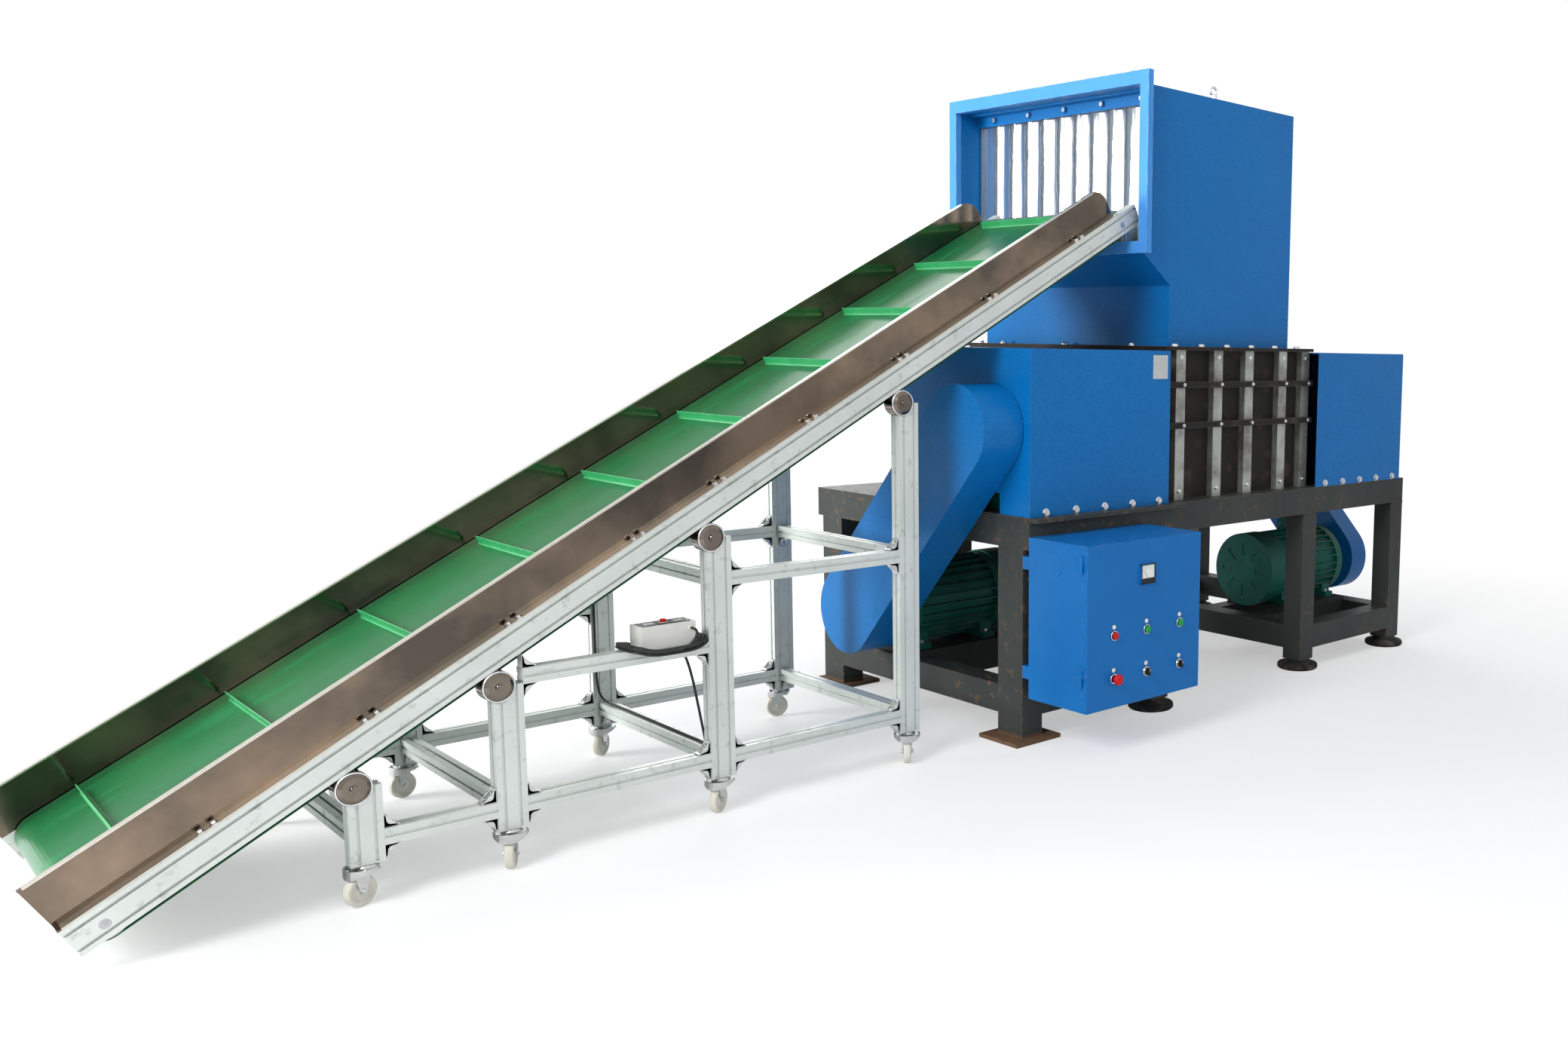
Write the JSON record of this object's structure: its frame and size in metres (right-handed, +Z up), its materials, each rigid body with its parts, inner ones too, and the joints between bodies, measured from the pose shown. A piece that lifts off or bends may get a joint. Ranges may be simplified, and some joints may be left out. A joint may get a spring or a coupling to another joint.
{
  "type": "four shaft shredder",
  "caption": "Shredder with geared cutter shafts on a beam frame, with hopper, belt drives, control cabinet and an inclined belt conveyor on a caster stand.",
  "frame": {"origin": "middle of the bounding box on the floor, without the cable", "axes": "+X along the conveyor towards the machine, +Y away from the control cabinet, +Z up"},
  "size_m": [5.4829, 1.7862, 2.5941],
  "materials": {
    "frame_paint": "matt, rusty edges",
    "foot_rubber": "matt",
    "chamber_steel": "satin, worn",
    "bearing_steel": "matt",
    "blue_paint": "satin",
    "cabinet_paint": "fine texture",
    "clear_strip": "clear flexible sheet",
    "cast_paint": "gloss",
    "belt_rubber": "matt",
    "bolt_steel": "bright",
    "cutter_steel": "ground",
    "pulley_iron": "turned",
    "red_plastic": "gloss",
    "green_plastic": "gloss",
    "black_plastic": "satin",
    "profile_aluminium": "anodised",
    "mirror_steel": "polished",
    "sheet_steel": "brushed",
    "green_belt": "smooth",
    "disc_steel": "dark polish",
    "fork_steel": "plated",
    "wheel_plastic": "satin",
    "box_plastic": "satin",
    "cable_black": "satin"
  },
  "bodies": {
    "root": {"base_frame": "frame_paint", "machine_feet": "foot_rubber", "chamber": "chamber_steel", "shaft_bearings": "bearing_steel", "screen": "chamber_steel", "hopper": "blue_paint", "infeed_flange": "blue_paint", "curtain_bar": "blue_paint", "front_gear_cover": "blue_paint", "rear_gear_cover": "blue_paint", "gear_reducers": "cast_paint", "drive_motors": "cast_paint", "drive_belts": "belt_rubber", "belt_guards": "blue_paint", "machine_bolts": "bolt_steel", "cabinet": "cabinet_paint", "conveyor_beams": "profile_aluminium", "conveyor_guards": "mirror_steel", "conveyor_bed": "sheet_steel", "conveyor_belt": "green_belt", "stand_frame": "profile_aluminium", "pivot_discs": "disc_steel", "control_box": "box_plastic", "cable_coil": "cable_black", "cable_lead": "cable_black"},
    "curtain_strips": {"curtain_strips": "clear_strip"},
    "cutter_shaft_1": {"cutter_shaft_1": "cutter_steel"},
    "cutter_shaft_2": {"cutter_shaft_2": "cutter_steel"},
    "cutter_shaft_3": {"cutter_shaft_3": "cutter_steel"},
    "cutter_shaft_4": {"cutter_shaft_4": "cutter_steel"},
    "front_reducer_pulley": {"front_reducer_pulley": "pulley_iron"},
    "front_motor_pulley": {"front_motor_pulley": "pulley_iron"},
    "rear_reducer_pulley": {"rear_reducer_pulley": "pulley_iron"},
    "rear_motor_pulley": {"rear_motor_pulley": "pulley_iron"},
    "cabinet_door": {"cabinet_door": "cabinet_paint"},
    "stop_button": {"stop_button": "red_plastic"},
    "start_button_1": {"start_button_1": "green_plastic"},
    "start_button_2": {"start_button_2": "green_plastic"},
    "emergency_stop": {"emergency_stop": "red_plastic"},
    "selector_1": {"selector_1": "black_plastic"},
    "selector_2": {"selector_2": "black_plastic"},
    "head_pulley": {"head_pulley": "sheet_steel"},
    "tail_pulley": {"tail_pulley": "sheet_steel"},
    "caster_fork_1": {"caster_fork_1": "fork_steel"},
    "caster_wheel_1": {"caster_wheel_1": "wheel_plastic"},
    "caster_fork_2": {"caster_fork_2": "fork_steel"},
    "caster_wheel_2": {"caster_wheel_2": "wheel_plastic"},
    "caster_fork_3": {"caster_fork_3": "fork_steel"},
    "caster_wheel_3": {"caster_wheel_3": "wheel_plastic"},
    "caster_fork_4": {"caster_fork_4": "fork_steel"},
    "caster_wheel_4": {"caster_wheel_4": "wheel_plastic"},
    "caster_fork_5": {"caster_fork_5": "fork_steel"},
    "caster_wheel_5": {"caster_wheel_5": "wheel_plastic"},
    "caster_fork_6": {"caster_fork_6": "fork_steel"},
    "caster_wheel_6": {"caster_wheel_6": "wheel_plastic"},
    "caster_fork_7": {"caster_fork_7": "fork_steel"},
    "caster_wheel_7": {"caster_wheel_7": "wheel_plastic"},
    "caster_fork_8": {"caster_fork_8": "fork_steel"},
    "caster_wheel_8": {"caster_wheel_8": "wheel_plastic"},
    "control_box_button": {"control_box_button": "red_plastic"}
  },
  "joints": [
    {"name": "curtain_swing", "type": "hinge", "parent": "root", "child": "curtain_strips", "pos_m": [0.91824, 0.1531, 2.5158], "axis": [0, -1, 0], "range_deg": [0, 70]},
    {"name": "cutter_shaft_1_spin", "type": "hinge", "parent": "root", "child": "cutter_shaft_1", "pos_m": [1.33144, -0.2519, 1.18], "axis": [1, 0, 0], "continuous": true},
    {"name": "cutter_shaft_2_spin", "type": "hinge", "parent": "root", "child": "cutter_shaft_2", "pos_m": [1.33144, 0.0181, 1.18], "axis": [1, 0, 0], "continuous": true},
    {"name": "cutter_shaft_3_spin", "type": "hinge", "parent": "root", "child": "cutter_shaft_3", "pos_m": [1.33144, 0.2881, 1.18], "axis": [1, 0, 0], "continuous": true},
    {"name": "cutter_shaft_4_spin", "type": "hinge", "parent": "root", "child": "cutter_shaft_4", "pos_m": [1.33144, 0.5581, 1.18], "axis": [1, 0, 0], "continuous": true},
    {"name": "front_reducer_pulley_spin", "type": "hinge", "parent": "root", "child": "front_reducer_pulley", "pos_m": [-0.01855, -0.3369, 1.18], "axis": [1, 0, 0], "continuous": true},
    {"name": "front_motor_pulley_spin", "type": "hinge", "parent": "root", "child": "front_motor_pulley", "pos_m": [-0.01855, 0.3771, 0.405], "axis": [1, 0, 0], "continuous": true},
    {"name": "rear_reducer_pulley_spin", "type": "hinge", "parent": "root", "child": "rear_reducer_pulley", "pos_m": [2.68145, 0.6431, 1.18], "axis": [1, 0, 0], "continuous": true},
    {"name": "rear_motor_pulley_spin", "type": "hinge", "parent": "root", "child": "rear_motor_pulley", "pos_m": [2.68145, -0.0709, 0.405], "axis": [1, 0, 0], "continuous": true},
    {"name": "cabinet_door_swing", "type": "hinge", "parent": "root", "child": "cabinet_door", "pos_m": [0.09909, -0.8301, 0.485], "axis": [0, 0, -1], "range_deg": [0, 110]},
    {"name": "stop_button_press", "type": "slide", "parent": "cabinet_door", "child": "stop_button", "axis": [0, 1, 0], "range_m": [0, 0.005], "stiffness_N_per_m": 400},
    {"name": "start_button_1_press", "type": "slide", "parent": "cabinet_door", "child": "start_button_1", "axis": [0, 1, 0], "range_m": [0, 0.005], "stiffness_N_per_m": 400},
    {"name": "start_button_2_press", "type": "slide", "parent": "cabinet_door", "child": "start_button_2", "axis": [0, 1, 0], "range_m": [0, 0.005], "stiffness_N_per_m": 400},
    {"name": "emergency_stop_press", "type": "slide", "parent": "cabinet_door", "child": "emergency_stop", "axis": [0, 1, 0], "range_m": [0, 0.005]},
    {"name": "selector_1_turn", "type": "hinge", "parent": "cabinet_door", "child": "selector_1", "pos_m": [0.41267, -0.8551, 0.2898], "axis": [0, 1, 0], "range_deg": [-45, 45]},
    {"name": "selector_2_turn", "type": "hinge", "parent": "cabinet_door", "child": "selector_2", "pos_m": [0.59448, -0.8551, 0.2898], "axis": [0, 1, 0], "range_deg": [-45, 45]},
    {"name": "head_pulley_spin", "type": "hinge", "parent": "root", "child": "head_pulley", "pos_m": [0.72145, 0.0406, 1.977], "axis": [0, 1, 0], "continuous": true},
    {"name": "tail_pulley_spin", "type": "hinge", "parent": "root", "child": "tail_pulley", "pos_m": [-2.59566, 0.0406, 0.12313], "axis": [0, 1, 0], "continuous": true},
    {"name": "caster_fork_1_swivel", "type": "hinge", "parent": "root", "child": "caster_fork_1", "pos_m": [-2.05156, -0.3749, 0.1], "axis": [0, 0, 1], "continuous": true},
    {"name": "caster_wheel_1_roll", "type": "hinge", "parent": "caster_fork_1", "child": "caster_wheel_1", "pos_m": [-2.07223, -0.38242, 0.042], "axis": [-0.342, 0.9397, 0], "continuous": true},
    {"name": "caster_fork_2_swivel", "type": "hinge", "parent": "root", "child": "caster_fork_2", "pos_m": [-1.68522, -0.3749, 0.1], "axis": [0, 0, 1], "continuous": true},
    {"name": "caster_wheel_2_roll", "type": "hinge", "parent": "caster_fork_2", "child": "caster_wheel_2", "pos_m": [-1.69622, -0.39395, 0.042], "axis": [-0.866, 0.5, 0], "continuous": true},
    {"name": "caster_fork_3_swivel", "type": "hinge", "parent": "root", "child": "caster_fork_3", "pos_m": [-1.04413, -0.3749, 0.1], "axis": [0, 0, 1], "continuous": true},
    {"name": "caster_wheel_3_roll", "type": "hinge", "parent": "caster_fork_3", "child": "caster_wheel_3", "pos_m": [-1.06215, -0.38752, 0.042], "axis": [-0.5736, 0.8192, 0], "continuous": true},
    {"name": "caster_fork_4_swivel", "type": "hinge", "parent": "root", "child": "caster_fork_4", "pos_m": [-0.32355, -0.3749, 0.1], "axis": [0, 0, 1], "continuous": true},
    {"name": "caster_wheel_4_roll", "type": "hinge", "parent": "caster_fork_4", "child": "caster_wheel_4", "pos_m": [-0.33617, -0.39292, 0.042], "axis": [-0.8192, 0.5736, 0], "continuous": true},
    {"name": "caster_fork_5_swivel", "type": "hinge", "parent": "root", "child": "caster_fork_5", "pos_m": [-2.05156, 0.4561, 0.1], "axis": [0, 0, 1], "continuous": true},
    {"name": "caster_wheel_5_roll", "type": "hinge", "parent": "caster_fork_5", "child": "caster_wheel_5", "pos_m": [-2.07061, 0.4671, 0.042], "axis": [0.5, 0.866, 0], "continuous": true},
    {"name": "caster_fork_6_swivel", "type": "hinge", "parent": "root", "child": "caster_fork_6", "pos_m": [-1.68522, 0.4561, 0.1], "axis": [0, 0, 1], "continuous": true},
    {"name": "caster_wheel_6_roll", "type": "hinge", "parent": "caster_fork_6", "child": "caster_wheel_6", "pos_m": [-1.70647, 0.45041, 0.042], "axis": [-0.2588, 0.9659, 0], "continuous": true},
    {"name": "caster_fork_7_swivel", "type": "hinge", "parent": "root", "child": "caster_fork_7", "pos_m": [-1.04413, 0.4561, 0.1], "axis": [0, 0, 1], "continuous": true},
    {"name": "caster_wheel_7_roll", "type": "hinge", "parent": "caster_fork_7", "child": "caster_wheel_7", "pos_m": [-1.06098, 0.44196, 0.042], "axis": [-0.6428, 0.766, 0], "continuous": true},
    {"name": "caster_fork_8_swivel", "type": "hinge", "parent": "root", "child": "caster_fork_8", "pos_m": [-0.32355, 0.4561, 0.1], "axis": [0, 0, 1], "continuous": true},
    {"name": "caster_wheel_8_roll", "type": "hinge", "parent": "caster_fork_8", "child": "caster_wheel_8", "pos_m": [-0.34423, 0.46362, 0.042], "axis": [0.342, 0.9397, 0], "continuous": true},
    {"name": "control_box_button_press", "type": "slide", "parent": "root", "child": "control_box_button", "axis": [0, 0, -1], "range_m": [0, 0.004], "stiffness_N_per_m": 400}
  ],
  "couplings": [
    {"joint": "cutter_shaft_2_spin", "follows": "cutter_shaft_1_spin", "ratio": -1},
    {"joint": "cutter_shaft_4_spin", "follows": "cutter_shaft_3_spin", "ratio": -1},
    {"joint": "tail_pulley_spin", "follows": "head_pulley_spin", "ratio": 1},
    {"joint": "front_motor_pulley_spin", "follows": "front_reducer_pulley_spin", "ratio": 1.5789},
    {"joint": "rear_motor_pulley_spin", "follows": "rear_reducer_pulley_spin", "ratio": 1.5789}
  ]
}
